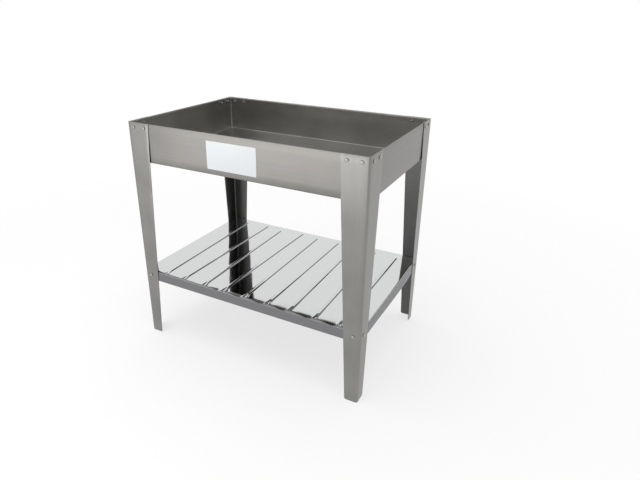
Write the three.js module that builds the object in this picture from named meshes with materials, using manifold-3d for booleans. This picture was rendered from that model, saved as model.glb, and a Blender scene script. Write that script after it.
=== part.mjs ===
// Stainless steel dairy work table: a drained trough on four tapered angle legs, with a ribbed shelf below.
// Millimetres. +Z is up, +X runs along the long side, and the front faces -Y.
// The origin lies on the floor, under the middle of the table.

import * as THREE from "three";
import { mergeVertices } from "three/addons/utils/BufferGeometryUtils.js";
import Module from "manifold-3d";

const wasm = await Module();
wasm.setup();

// ---------------------------------------------------------------- driving dimensions

const width = 900; // across the outer faces of the legs, along X
const depth = 600; // across the outer faces of the legs, along Y
const height = 850; // floor to rim
const seatGap = 0.3; // air left between two pieces that seat on each other

const leg = {
  sheet: 1.5,
  topFlange: 93, // width of each flange at the rim
  footFlange: 47, // width of each flange at the floor
  insideBend: 6, // the trough's upright corners have the same radius outside
  footChamfer: 4, // cut off each flange's free corner at the floor
};

const trough = {
  sheet: 1,
  wallHeight: 137.5,
  floorBend: 3, // inside, where the walls turn into the floor
  hemThickness: 2.6, // the rim is folded back on itself, inwards
  hemHeight: 7,
  fall: 12, // from the walls down to the drain
};

const shelf = {
  sheet: 1,
  topLevel: 277.5,
  lip: 40,
  insideBend: 2,
  notchMargin: 3, // the lips stop this far past the leg's inside bend
};

const rib = {
  count: 9,
  width: 11,
  rise: 3.5,
  frontMargin: 5.5, // shelf edge to the end of the rib
  backMargin: 42,
};

const thread = 6; // of all the screws and nuts
const screw = {
  length: 12, // below the head
  shankClearance: 0.3, // radial, in every hole that it passes
  tipChamfer: 0.8,
  headHeight: 3.8,
  headEdge: 1.2, // upright part of the head, under its dome
  recessSpan: 6.4, // of the cross recess
  recessWidth: 1.3,
  recessDepth: 2.2,
};
const screwPlace = {
  fromCorner: 26, // from the outer corner of the leg
  fromFreeEdge: 21, // second upper screw, from the flange's free edge at the rim
  belowRim: 17,
  belowShelf: 21,
};

const label = {
  width: 190,
  height: 94,
  thickness: 0.4,
  cornerRadius: 3,
  fromMiddle: -20.5, // along X
  belowRim: 24.5,
};

const drain = {
  wall: 1.5,
  boreRadius: 19, // inside of the cup, under the grate
  threadLength: 30, // of the cup, below the flange
  flangeOverlap: 14, // of the flange past the cup
  flangeThickness: 1.2,
  holeClearance: 1.5, // radial, between the cup and the floor
  recessMargin: 5.5, // flat seat in the floor, past the flange
  tailStep: 3.9, // radial, from the cup's bore in to the tail's bore
  tailLength: 26,
  sealThickness: 1.6,
  nutHeight: 9,
  nutMargin: 8, // across the flats, past the cup on each side
  grateThickness: 1.5,
  grateLedge: 2, // radial, under the grate's edge
  grateHoleRadius: 2.4,
};

// ---------------------------------------------------------------- derived sizes

const coverOffset = leg.sheet + seatGap; // leg's outer face to the sheet that it is screwed to
const insideHalfX = width / 2 - coverOffset;
const insideHalfY = depth / 2 - coverOffset;
const holeRadius = thread / 2 + screw.shankClearance;
const headRadius = thread;
const acrossFlats = (thread * 5) / 3;
const nutHeight = (thread * 5) / 6;
const floorUnderside = height - trough.wallHeight;
const floorTop = floorUnderside + trough.sheet;
const recessTop = floorTop - trough.fall;
const cupRadius = drain.boreRadius + drain.grateLedge + drain.wall;
const flangeRadius = cupRadius + drain.flangeOverlap;
const recessRadius = flangeRadius + drain.recessMargin;
const recessBlend = 5; // from the recess out to where the four creases start

const QUARTER = Math.PI / 2;
const ROUND_STEPS = { hole: 12, nut: 12, screw: 14, drain: 36, bend: 4 };

// ---------------------------------------------------------------- helpers

// A closed three.js geometry as a solid that can be joined and cut.
function solidOf(geometry) {
  const bare = geometry.clone();
  bare.deleteAttribute("normal");
  bare.deleteAttribute("uv");
  const merged = mergeVertices(bare, 1e-4);
  return new wasm.Manifold(
    new wasm.Mesh({
      numProp: 3,
      vertProperties: new Float32Array(merged.attributes.position.array),
      triVerts: new Uint32Array(merged.index.array),
    }),
  );
}

// A solid back as a geometry, with one flat normal to each face.
function geometryOf(solid) {
  const mesh = solid.getMesh();
  const indexed = new THREE.BufferGeometry();
  indexed.setAttribute("position", new THREE.BufferAttribute(mesh.vertProperties, 3));
  indexed.setIndex(new THREE.BufferAttribute(mesh.triVerts, 1));
  const geometry = indexed.toNonIndexed();
  geometry.computeVertexNormals();
  return geometry;
}

// A flat outline in (u, v), extruded by the given length along +Z.
function extruded(points, length) {
  const shape = new THREE.Shape(points.map(([u, v]) => new THREE.Vector2(u, v)));
  return new THREE.ExtrudeGeometry(shape, { depth: length, bevelEnabled: false });
}

// An outline drawn in the upright plane across Y, extruded along +Y from the given start.
function extrudedAlongY(points, start, length) {
  return extruded(points.map(([x, z]) => [x, -z]), length).rotateX(-QUARTER).translate(0, start, 0);
}

// The points of an arc, both ends included.
function arc(centreU, centreV, radius, from, to, steps = ROUND_STEPS.bend) {
  const points = [];
  for (let i = 0; i <= steps; i++) {
    const angle = from + ((to - from) * i) / steps;
    points.push([centreU + radius * Math.cos(angle), centreV + radius * Math.sin(angle)]);
  }
  return points;
}

// A body of revolution about Z from its closed (radius, height) outline, anticlockwise.
function turned(outline, steps = ROUND_STEPS.drain) {
  const closed = [...outline, outline[0]].map(([r, z]) => new THREE.Vector2(r, z));
  return new THREE.LatheGeometry(closed, steps).rotateX(QUARTER);
}

// A flat ring about Z, standing on the given level.
function washer(inside, outside, level, thickness, steps = ROUND_STEPS.drain) {
  const top = level + thickness;
  return turned([[inside, level], [outside, level], [outside, top], [inside, top]], steps);
}

// A cylinder for cutting a hole, centred on its axis, which runs along Z.
function borer(radius, length, steps = ROUND_STEPS.hole) {
  return new THREE.CylinderGeometry(radius, radius, length, steps).rotateX(QUARTER);
}

function hexagon(flats) {
  const corner = flats / Math.sqrt(3);
  return arc(0, 0, corner, 0, (5 / 3) * Math.PI, 5);
}

function mesh(name, geometry, material) {
  const made = new THREE.Mesh(geometry, material);
  made.name = name;
  return made;
}

// ---------------------------------------------------------------- materials

const steel = (colour, roughness) =>
  new THREE.MeshStandardMaterial({ color: colour, roughness, metalness: 1 });

const materials = {
  satin: steel(0xa9a7a2, 0.38),
  polished: steel(0xc4c6c6, 0.1),
  fastener: steel(0xb4b4b2, 0.28),
  rubber: new THREE.MeshStandardMaterial({ color: 0x232425, roughness: 0.75, metalness: 0 }),
  label: new THREE.MeshStandardMaterial({ color: 0xe4e8ea, roughness: 0.45, metalness: 0 }),
};

// ---------------------------------------------------------------- where the screws go

// Each leg's group stands on its outer corner, with one flange along its own +X and one along its +Y.
const corners = [
  { name: "front_left", x: -width / 2, y: -depth / 2, turn: 0 },
  { name: "front_right", x: width / 2, y: -depth / 2, turn: QUARTER },
  { name: "back_right", x: width / 2, y: depth / 2, turn: 2 * QUARTER },
  { name: "back_left", x: -width / 2, y: depth / 2, turn: 3 * QUARTER },
];

const screwRows = [
  { name: "upper_outer", along: screwPlace.fromCorner, level: height - screwPlace.belowRim },
  {
    name: "upper_inner",
    along: leg.topFlange - screwPlace.fromFreeEdge,
    level: height - screwPlace.belowRim,
  },
  { name: "lower", along: screwPlace.fromCorner, level: shelf.topLevel - screwPlace.belowShelf },
];

// The six places on one leg. Each place's +Z points inwards through the flange, from its outer face.
function screwPlaces() {
  const places = [];
  for (const row of screwRows) {
    const onX = new THREE.Matrix4().makeRotationX(-QUARTER);
    onX.setPosition(row.along, 0, row.level);
    places.push({ name: `${row.name}_x`, matrix: onX });
    const onY = new THREE.Matrix4().makeRotationY(QUARTER);
    onY.setPosition(0, row.along, row.level);
    places.push({ name: `${row.name}_y`, matrix: onY });
  }
  return places;
}

function cornerMatrix(corner) {
  const matrix = new THREE.Matrix4().makeRotationZ(corner.turn);
  return matrix.setPosition(corner.x, corner.y, 0);
}

// Takes every screw hole that crosses the solid out of it.
function drillAllCorners(solid) {
  const reach = 2 * (screw.length + screw.headHeight);
  let drilled = solid;
  for (const corner of corners) {
    for (const place of screwPlaces()) {
      const matrix = cornerMatrix(corner).multiply(place.matrix);
      drilled = drilled.subtract(solidOf(borer(holeRadius, reach).applyMatrix4(matrix)));
    }
  }
  return drilled;
}

// ---------------------------------------------------------------- leg

// Angle of folded sheet with its outer corner on the Z axis. Both flanges taper from the rim to the floor.
function legGeometry() {
  const outsideBend = leg.insideBend + leg.sheet;
  const plan = [
    ...arc(outsideBend, outsideBend, outsideBend, 2 * QUARTER, 3 * QUARTER),
    [leg.topFlange, 0],
    [leg.topFlange, leg.sheet],
    ...arc(outsideBend, outsideBend, leg.insideBend, 3 * QUARTER, 2 * QUARTER),
    [leg.sheet, leg.topFlange],
    [0, leg.topFlange],
  ];
  const flangeAt = (z) => leg.footFlange + ((leg.topFlange - leg.footFlange) * z) / height;
  const beyond = leg.topFlange;
  const offcut = [
    [leg.footFlange - 2 * leg.footChamfer, -leg.footChamfer],
    [flangeAt(leg.footChamfer), leg.footChamfer],
    [flangeAt(height + beyond), height + beyond],
    [leg.topFlange + beyond, height + beyond],
    [leg.topFlange + beyond, -leg.footChamfer],
  ];
  const taper = extrudedAlongY(offcut, -2 * beyond, 4 * beyond);
  let solid = solidOf(extruded(plan, height)).subtract(solidOf(taper));
  solid = solid.subtract(solidOf(taper.rotateZ(QUARTER)));
  for (const place of screwPlaces()) {
    solid = solid.subtract(solidOf(borer(holeRadius, 4 * leg.sheet).applyMatrix4(place.matrix)));
  }
  return geometryOf(solid);
}

// ---------------------------------------------------------------- trough

// Every ring of the trough has the same stations: each corner's arc, then the side up to the next corner.
function listStations(cornerSteps, sideSteps) {
  const stations = [];
  for (let quarter = 0; quarter < 4; quarter++) {
    for (let i = 0; i <= cornerSteps; i++) stations.push({ quarter, turn: i / cornerSteps, along: 0 });
    for (let i = 1; i < sideSteps; i++) stations.push({ quarter, turn: 1, along: i / sideSteps });
  }
  return stations;
}

const ringStations = listStations(5, 6);

// A rounded rectangle at one level. The rectangle shrinks by inset on each side, corner radius included.
function rectangleRing(inset, level, scale = 1) {
  const radius = leg.insideBend - inset;
  const centreX = insideHalfX - inset - radius;
  const centreY = insideHalfY - inset - radius;
  const cornerPoint = (quarter, turn) => {
    const signX = [1, -1, -1, 1][quarter % 4];
    const signY = [1, 1, -1, -1][quarter % 4];
    const angle = (quarter + turn) * QUARTER;
    return new THREE.Vector3(
      scale * (signX * centreX + radius * Math.cos(angle)),
      scale * (signY * centreY + radius * Math.sin(angle)),
      level,
    );
  };
  return ringStations.map(({ quarter, turn, along }) =>
    cornerPoint(quarter, turn).lerp(cornerPoint(quarter + 1, 0), along),
  );
}

// A circle at one level, its stations drawn together at the four diagonals, where the floor's creases arrive.
function circleRing(radius, level) {
  const creaseShare = 0.2; // of each quarter turn, taken by a corner's stations
  return ringStations.map(({ quarter, turn, along }) => {
    const share = 0.5 + creaseShare * (turn - 0.5) + (1 - creaseShare) * along;
    const angle = (quarter + share) * QUARTER;
    return new THREE.Vector3(radius * Math.cos(angle), radius * Math.sin(angle), level);
  });
}

// One closed skin through the rings in order, the last joined to the first.
function skinned(rings) {
  const stations = rings[0].length;
  const positions = rings.flat().flatMap((point) => point.toArray());
  const faces = [];
  for (let r = 0; r < rings.length; r++) {
    for (let s = 0; s < stations; s++) {
      const next = (s + 1) % stations;
      const here = r * stations;
      const above = ((r + 1) % rings.length) * stations;
      faces.push(here + s, here + next, above + next, here + s, above + next, above + s);
    }
  }
  const geometry = new THREE.BufferGeometry();
  geometry.setAttribute("position", new THREE.Float32BufferAttribute(positions, 3));
  geometry.setIndex(faces);
  return geometry;
}

// Folded and welded tray with a hemmed rim, and a floor creased along its diagonals that falls to the drain.
function troughGeometry() {
  const bendCentre = trough.floorBend + trough.sheet;
  const hemRadius = trough.hemThickness / 2;
  const creaseStop = (recessRadius + recessBlend) / (insideHalfY - bendCentre);
  const creaseDrop = trough.fall * (1 - creaseStop);
  const holeInFloor = cupRadius + drain.holeClearance;
  const profile = [
    ...arc(bendCentre, floorUnderside + bendCentre, bendCentre, -QUARTER, -2 * QUARTER),
    ...arc(hemRadius, height - hemRadius, hemRadius, 2 * QUARTER, 0, 6),
    [trough.hemThickness, height - trough.hemHeight],
    [trough.sheet, height - trough.hemHeight],
    ...arc(bendCentre, floorUnderside + bendCentre, trough.floorBend, -2 * QUARTER, -QUARTER),
  ];
  const rings = [
    ...profile.map(([inset, level]) => rectangleRing(inset, level)),
    rectangleRing(bendCentre, floorTop - creaseDrop, creaseStop),
    circleRing(recessRadius, recessTop),
    circleRing(holeInFloor, recessTop),
    circleRing(holeInFloor, recessTop - trough.sheet),
    circleRing(recessRadius, recessTop - trough.sheet),
    rectangleRing(bendCentre, floorUnderside - creaseDrop, creaseStop),
  ];
  return geometryOf(drillAllCorners(solidOf(skinned(rings))));
}

// ---------------------------------------------------------------- shelf

// A sheet with a lip folded down at each end, seen end on, from -half to +half.
function lippedSection(half) {
  const { sheet, insideBend, topLevel, lip } = shelf;
  const outsideBend = insideBend + sheet;
  const bendLevel = topLevel - outsideBend;
  const foot = topLevel - lip;
  return [
    [-half, foot],
    [-half + sheet, foot],
    ...arc(-half + outsideBend, bendLevel, insideBend, 2 * QUARTER, QUARTER),
    ...arc(half - outsideBend, bendLevel, insideBend, QUARTER, 0),
    [half - sheet, foot],
    [half, foot],
    ...arc(half - outsideBend, bendLevel, outsideBend, 0, QUARTER),
    ...arc(-half + outsideBend, bendLevel, outsideBend, QUARTER, 2 * QUARTER),
  ];
}

// A bead of the given radius along Y, with round ends.
function bead(x, level, radius, front, back) {
  const length = back - front - 2 * radius;
  return new THREE.CapsuleGeometry(radius, length, 4, 16).translate(x, (front + back) / 2, level);
}

// Ribbed tray turned upside down: a flat top with nine pressed ribs, and a lip down each side.
function shelfGeometry() {
  const { sheet, topLevel } = shelf;
  const cornerNotch = leg.insideBend + shelf.notchMargin;
  const lengthX = 2 * (insideHalfX - cornerNotch);
  const lengthY = 2 * (insideHalfY - cornerNotch);
  const frontAndBack = extrudedAlongY(lippedSection(insideHalfY), -lengthX / 2, lengthX).rotateZ(QUARTER);
  const sides = extrudedAlongY(lippedSection(insideHalfX), -lengthY / 2, lengthY);
  let solid = solidOf(frontAndBack).add(solidOf(sides));

  const beadRadius = (rib.width ** 2 / 4 + rib.rise ** 2) / (2 * rib.rise);
  const beadLevel = topLevel + rib.rise - beadRadius;
  const pitch = (2 * insideHalfX) / (rib.count + 1);
  const front = -insideHalfY + rib.frontMargin;
  const back = insideHalfY - rib.backMargin;
  const below = new THREE.BoxGeometry(4 * beadRadius, depth, 4 * beadRadius);
  below.translate(0, 0, topLevel - sheet / 2 - 2 * beadRadius);
  for (let i = 1; i <= rib.count; i++) {
    const x = -insideHalfX + i * pitch;
    const crown = solidOf(bead(x, beadLevel, beadRadius, front, back));
    const hollow = solidOf(bead(x, beadLevel, beadRadius - sheet, front + sheet, back - sheet));
    solid = solid.add(crown.subtract(solidOf(below.clone().translate(x, 0, 0)))).subtract(hollow);
  }
  return geometryOf(drillAllCorners(solid));
}

// ---------------------------------------------------------------- screws and nuts

// Pan head screw with a cross recess. It points along +Z, which starts on the leg's outer face.
function screwGeometry() {
  const { tipChamfer, headHeight, headEdge, recessSpan, recessWidth, recessDepth } = screw;
  const shank = thread / 2;
  const seat = -seatGap;
  const crown = seat - headHeight;
  const tip = seat + screw.length;
  const domeHeight = headHeight - headEdge;
  const domeRadius = (headRadius ** 2 + domeHeight ** 2) / (2 * domeHeight);
  const domeEdge = Math.asin(headRadius / domeRadius) - QUARTER;
  const body = turned(
    [
      ...arc(0, crown + domeRadius, domeRadius, -QUARTER, domeEdge),
      [headRadius, seat],
      [shank, seat],
      [shank, tip - tipChamfer],
      [shank - tipChamfer, tip],
      [0, tip],
    ],
    ROUND_STEPS.screw,
  );
  let solid = solidOf(body);
  for (const turn of [0, QUARTER]) {
    const slot = new THREE.BoxGeometry(recessSpan, recessWidth, 2 * recessDepth);
    solid = solid.subtract(solidOf(slot.rotateZ(turn + QUARTER / 2).translate(0, 0, crown)));
  }
  return geometryOf(solid);
}

// Hexagon nut behind a sheet of the given thickness, on the screw's own axis.
function nutGeometry(sheetBehind) {
  const shape = new THREE.Shape(hexagon(acrossFlats).map(([u, v]) => new THREE.Vector2(u, v)));
  const bore = new THREE.Path();
  bore.absarc(0, 0, holeRadius, 0, 2 * Math.PI);
  shape.holes.push(bore);
  const options = { depth: nutHeight, bevelEnabled: false, curveSegments: ROUND_STEPS.nut / 2 };
  const geometry = new THREE.ExtrudeGeometry(shape, options);
  return geometry.translate(0, 0, coverOffset + sheetBehind + seatGap);
}

// ---------------------------------------------------------------- drain

// All drain pieces are drawn about Z at their real level.
const upperSealLevel = recessTop + seatGap;
const flangeLevel = upperSealLevel + drain.sealThickness + seatGap;
const flangeTop = flangeLevel + drain.flangeThickness;
const lowerSealLevel = recessTop - trough.sheet - seatGap - drain.sealThickness;
const backnutLevel = lowerSealLevel - seatGap - drain.nutHeight;

// Flanged cup with a ledge for the grate and a smaller threaded tail for the hose.
function drainBodyGeometry() {
  const { wall, boreRadius, grateLedge } = drain;
  const tailBore = boreRadius - drain.tailStep;
  const tailRadius = tailBore + wall;
  const ledgeLevel = flangeTop - drain.grateThickness - seatGap;
  const cupFloor = flangeLevel - drain.threadLength;
  const tailEnd = cupFloor - drain.tailLength;
  const cupBore = boreRadius + grateLedge;
  return turned([
    [tailBore, tailEnd],
    [tailRadius, tailEnd],
    [tailRadius, cupFloor - wall],
    [cupRadius, cupFloor - wall + (cupRadius - tailRadius)],
    [cupRadius, flangeLevel],
    [flangeRadius, flangeLevel],
    [flangeRadius - drain.flangeThickness, flangeTop],
    [cupBore, flangeTop],
    [cupBore, ledgeLevel],
    [boreRadius, ledgeLevel],
    [boreRadius, cupFloor + wall + (cupRadius - tailRadius)],
    [tailBore, cupFloor],
  ]);
}

// Round plate with two rings of holes.
function grateGeometry() {
  const radius = drain.boreRadius + drain.grateLedge - seatGap;
  const level = flangeTop - drain.grateThickness;
  const plate = borer(radius, drain.grateThickness, ROUND_STEPS.drain);
  plate.translate(0, 0, level + drain.grateThickness / 2);
  let solid = solidOf(plate);
  const rings = [
    { count: 6, radius: 0.36 * radius },
    { count: 12, radius: 0.72 * radius },
  ];
  for (const ring of rings) {
    for (let i = 0; i < ring.count; i++) {
      const angle = (i * 2 * Math.PI) / ring.count;
      const hole = borer(drain.grateHoleRadius, 4 * drain.grateThickness, 8);
      hole.translate(ring.radius * Math.cos(angle), ring.radius * Math.sin(angle), level);
      solid = solid.subtract(solidOf(hole));
    }
  }
  return geometryOf(solid);
}

function backnutGeometry() {
  const body = extruded(hexagon(2 * (cupRadius + drain.nutMargin)), drain.nutHeight);
  body.translate(0, 0, backnutLevel);
  const bore = borer(cupRadius + seatGap, 4 * drain.nutHeight, ROUND_STEPS.drain);
  return geometryOf(solidOf(body).subtract(solidOf(bore.translate(0, 0, backnutLevel))));
}

function drainGroup() {
  const sealInside = cupRadius + seatGap;
  const sealOutside = flangeRadius - 2;
  const upperSeal = washer(sealInside, sealOutside, upperSealLevel, drain.sealThickness);
  const lowerSeal = washer(sealInside, sealOutside, lowerSealLevel, drain.sealThickness);
  const group = new THREE.Group();
  group.add(
    mesh("drain_body", drainBodyGeometry(), materials.fastener),
    mesh("drain_grate", grateGeometry(), materials.fastener),
    mesh("drain_upper_seal", upperSeal, materials.rubber),
    mesh("drain_lower_seal", lowerSeal, materials.rubber),
    mesh("drain_backnut", backnutGeometry(), materials.fastener),
  );
  return group;
}

// ---------------------------------------------------------------- label

// Blank sticker on the front wall of the trough.
function labelGeometry() {
  const halfX = label.width / 2 - label.cornerRadius;
  const halfZ = label.height / 2 - label.cornerRadius;
  const outline = [
    ...arc(halfX, halfZ, label.cornerRadius, 0, QUARTER),
    ...arc(-halfX, halfZ, label.cornerRadius, QUARTER, 2 * QUARTER),
    ...arc(-halfX, -halfZ, label.cornerRadius, 2 * QUARTER, 3 * QUARTER),
    ...arc(halfX, -halfZ, label.cornerRadius, 3 * QUARTER, 4 * QUARTER),
  ];
  const front = -insideHalfY - seatGap - label.thickness;
  return extrudedAlongY(outline, front, label.thickness);
}

// ---------------------------------------------------------------- assembly

function cornerGroup(corner, shared) {
  const group = new THREE.Group();
  group.position.set(corner.x, corner.y, 0);
  group.rotation.z = corner.turn;
  group.add(mesh(`leg_${corner.name}`, shared.leg, materials.satin));
  for (const place of screwPlaces()) {
    const seat = new THREE.Group();
    place.matrix.decompose(seat.position, seat.quaternion, seat.scale);
    const nut = place.name.startsWith("lower") ? shared.shelfNut : shared.troughNut;
    seat.add(mesh(`screw_${corner.name}_${place.name}`, shared.screw, materials.fastener));
    seat.add(mesh(`nut_${corner.name}_${place.name}`, nut, materials.fastener));
    group.add(seat);
  }
  return group;
}

const table = new THREE.Group();
const shared = {
  leg: legGeometry(),
  screw: screwGeometry(),
  troughNut: nutGeometry(trough.sheet),
  shelfNut: nutGeometry(shelf.sheet),
};
for (const corner of corners) table.add(cornerGroup(corner, shared));
table.add(mesh("trough", troughGeometry(), materials.satin));
table.add(mesh("shelf", shelfGeometry(), materials.polished));
const sticker = mesh("label_blank", labelGeometry(), materials.label);
sticker.position.set(label.fromMiddle, 0, height - label.belowRim - label.height / 2);
table.add(sticker);
table.add(drainGroup());

export default table;
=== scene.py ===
"""Looks of a stainless steel dairy wash table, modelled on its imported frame.

The table is a drained trough with a hemmed rim, four tapered angle legs, a ribbed shelf polished
to a mirror, pan head screws with nuts, a blank label and a drain. Lengths are metres unless a name
says mm. +X runs along the long side, the front faces -Y and +Z is up, as in the frame.
"""

import logging
import math
import random
from collections.abc import Callable, Iterable
from dataclasses import dataclass, field, replace
from enum import Enum

import bmesh
import bpy
from mathutils import Matrix, Vector


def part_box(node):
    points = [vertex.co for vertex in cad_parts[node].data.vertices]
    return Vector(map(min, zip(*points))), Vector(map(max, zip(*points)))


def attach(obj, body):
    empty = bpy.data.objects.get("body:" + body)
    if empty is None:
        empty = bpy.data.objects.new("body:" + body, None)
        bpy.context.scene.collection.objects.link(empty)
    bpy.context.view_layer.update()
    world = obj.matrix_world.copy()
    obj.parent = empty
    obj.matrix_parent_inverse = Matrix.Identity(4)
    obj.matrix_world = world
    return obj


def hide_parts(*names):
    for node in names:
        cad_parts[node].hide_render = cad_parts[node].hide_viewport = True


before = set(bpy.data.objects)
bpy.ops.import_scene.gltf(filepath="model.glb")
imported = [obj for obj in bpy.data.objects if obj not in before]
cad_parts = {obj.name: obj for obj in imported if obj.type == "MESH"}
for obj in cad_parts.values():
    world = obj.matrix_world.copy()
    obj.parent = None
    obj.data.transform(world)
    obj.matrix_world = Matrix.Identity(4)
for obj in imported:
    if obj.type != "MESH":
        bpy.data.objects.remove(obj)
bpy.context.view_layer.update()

MM = 0.001
QUARTER = math.pi / 2
HAIR = 0.02 * MM  # two places this close count as the same
LOG = logging.getLogger("wash_table")

Piece = bpy.types.Object
Node = bpy.types.Node
Tree = bpy.types.NodeTree
Shift = Callable[[Vector], Vector]
Span = tuple[float, float]
Triple = tuple[float, float, float]

# Values between which most, and almost all, of a grain pattern lies.
MOST = (0.3, 0.7)
ALMOST_ALL = (0.2, 0.8)


# ---- numbers


def smooth(value: float, start: float, end: float) -> float:
    """Eases from 0 at start to 1 at end.

    Args:
        value: Where to measure.
        start: Up to here the answer is 0. It may be larger than end.
        end: From here on the answer is 1.

    Returns:
        A share from 0 to 1.
    """
    share = min(max((value - start) / (end - start), 0.0), 1.0)
    return share * share * (3 - 2 * share)


def swell(value: float, grows: Span, fades: Span) -> float:
    """Eases from 0 to 1 over one stretch and back to 0 over another."""
    return smooth(value, *grows) * smooth(value, *fades)


def linear(hex_colour: str) -> tuple[float, float, float, float]:
    """Turns an sRGB hex colour into the linear values that shaders take.

    Args:
        hex_colour: Such as "#C9C6C0".

    Returns:
        Red, green, blue and an alpha of 1.
    """
    shares = [int(hex_colour[i : i + 2], 16) / 255 for i in (1, 3, 5)]
    turned = [s / 12.92 if s <= 0.04045 else ((s + 0.055) / 1.055) ** 2.4 for s in shares]
    return turned[0], turned[1], turned[2], 1.0


def steps(start: float, end: float, pitch: float) -> list[float]:
    """Lists evenly spaced places strictly between two ends.

    Args:
        start: First end.
        end: Second end.
        pitch: Largest distance between neighbours.

    Returns:
        The places, without the ends.
    """
    count = max(1, math.ceil((end - start) / pitch))
    return [start + (end - start) * i / count for i in range(1, count)]


def node_box(name: str) -> tuple[Vector, Vector]:
    """Gives a frame node's lowest and highest corners."""
    low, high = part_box(name)
    return Vector(low), Vector(high)


# ---- bench tools


class Pick(Enum):
    """What an edit mode selection is made of."""

    VERT = "verts"
    EDGE = "edges"
    FACE = "faces"


def clear_selection() -> None:
    """Leaves edit mode and deselects every object."""
    if bpy.context.object and bpy.context.object.mode != "OBJECT":
        bpy.ops.object.mode_set(mode="OBJECT")
    bpy.ops.object.select_all(action="DESELECT")


def take_up(piece: Piece) -> None:
    """Makes one piece the only selected and the active object.

    Args:
        piece: The object to work on, which is left in object mode.
    """
    clear_selection()
    piece.select_set(True)
    bpy.context.view_layer.objects.active = piece


def start_edit(piece: Piece, everything: bool = False) -> None:
    """Opens a piece in edit mode.

    Args:
        piece: The object to shape.
        everything: Selects the whole mesh instead of nothing.
    """
    take_up(piece)
    bpy.ops.object.mode_set(mode="EDIT")
    bpy.ops.mesh.select_all(action="SELECT" if everything else "DESELECT")


def pick(kind: Pick, test: Callable[..., bool]) -> None:
    """Selects the elements of the edited mesh that pass a test.

    Args:
        kind: Vertices, edges or faces.
        test: Takes one bmesh element.
    """
    bpy.ops.mesh.select_mode(type=kind.name)
    bpy.ops.mesh.select_all(action="DESELECT")
    data = bpy.context.edit_object.data
    mesh = bmesh.from_edit_mesh(data)
    for item in getattr(mesh, kind.value):
        if test(item):
            item.select_set(True)
    mesh.select_flush_mode()
    bmesh.update_edit_mesh(data)


def middle(edge: bmesh.types.BMEdge) -> Vector:
    """Gives the middle of an edge."""
    return (edge.verts[0].co + edge.verts[1].co) / 2


def runs_along(edge: bmesh.types.BMEdge, axis: int) -> bool:
    """Tells whether an edge is parallel to an axis."""
    way = (edge.verts[1].co - edge.verts[0].co).normalized()
    return abs(way[axis]) > 0.999


def cut_across(axis: int, places: Iterable[float]) -> None:
    """Bisects the whole edited mesh by planes square to an axis.

    Args:
        axis: 0, 1 or 2.
        places: Where each plane stands.
    """
    square = Vector(1.0 if i == axis else 0.0 for i in range(3))
    for place in places:
        bpy.ops.mesh.select_all(action="SELECT")
        bpy.ops.mesh.bisect(plane_co=square * place, plane_no=square, use_fill=False)


def pull_up(rise: float) -> None:
    """Extrudes the picked elements and moves what came out along Z."""
    bpy.ops.mesh.extrude_region_move(TRANSFORM_OT_translate={"value": (0, 0, rise)})


def pull_edges_up(rise: float) -> None:
    """Extrudes the picked edges and moves what came out along Z."""
    bpy.ops.mesh.extrude_edges_move(TRANSFORM_OT_translate={"value": (0, 0, rise)})


def resize(across: float, back: float, level: float) -> None:
    """Scales the picked elements along X and Y about the Z axis, at a level."""
    bpy.ops.transform.resize(value=(across, back, 1), center_override=(0, 0, level))


def round_off(width: float, segments: int, affect: Pick = Pick.EDGE) -> None:
    """Bevels the picked edges, or the picked corners.

    Args:
        width: Size of the bevel.
        segments: Faces across it.
        affect: Edges or vertices.
    """
    kind = "VERTICES" if affect is Pick.VERT else "EDGES"
    bpy.ops.mesh.bevel(offset=width, segments=segments, affect=kind, clamp_overlap=False)


def apply_modifier(piece: Piece, kind: str, **settings: object) -> None:
    """Adds a modifier with its settings and applies it.

    Args:
        piece: The object to change.
        kind: Blender's name of the modifier type.
        **settings: Properties of the modifier.
    """
    take_up(piece)
    modifier = piece.modifiers.new(kind.title(), kind)
    for name, value in settings.items():
        setattr(modifier, name, value)
    bpy.ops.object.modifier_apply(modifier=modifier.name)


def thicken(piece: Piece, sheet: float) -> None:
    """Gives an open skin its sheet thickness, on the side away from its normals."""
    apply_modifier(piece, "SOLIDIFY", thickness=sheet, offset=-1.0, use_even_offset=True)


def combine(piece: Piece, tool: Piece, operation: str) -> None:
    """Cuts a piece by a tool, or down to the tool's shape, and puts the tool away."""
    apply_modifier(piece, "BOOLEAN", operation=operation, solver="EXACT", object=tool)
    bpy.data.objects.remove(tool)


def break_edges(piece: Piece, width: float, segments: int = 2, angle: float = 50) -> None:
    """Rounds every sharp edge a little, as handling and deburring do.

    Args:
        piece: The object to change.
        width: Size of the rounding.
        segments: Faces across it.
        angle: Edges sharper than this, in degrees, are rounded.
    """
    apply_modifier(
        piece,
        "BEVEL",
        width=width,
        segments=segments,
        limit_method="ANGLE",
        angle_limit=math.radians(angle),
        harden_normals=False,
    )


def shade(piece: Piece, angle: float = 35) -> None:
    """Shades smoothly, apart from edges sharper than an angle in degrees."""
    take_up(piece)
    bpy.ops.object.shade_smooth_by_angle(angle=math.radians(angle))


def shift_points(piece: Piece, shift: Shift) -> None:
    """Moves each vertex of a piece by what a function says of its place."""
    for vertex in piece.data.vertices:
        vertex.co += shift(vertex.co)


def settle(name: str) -> Piece:
    """Names the new primitive and puts its place and size into its mesh.

    Args:
        name: The object's name.

    Returns:
        The new object.
    """
    bpy.ops.object.transform_apply(location=True, rotation=True, scale=True)
    bpy.context.object.name = name
    return bpy.context.object


def start_cube(name: str, low: Vector, high: Vector) -> Piece:
    """Adds a cube primitive that fills a box, open in edit mode with nothing selected.

    Args:
        name: The object's name.
        low: The box's lowest corner.
        high: Its highest corner.

    Returns:
        The new object.
    """
    clear_selection()
    bpy.ops.mesh.primitive_cube_add(size=1, location=(low + high) / 2, scale=high - low)
    piece = settle(name)
    start_edit(piece)
    return piece


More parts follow.
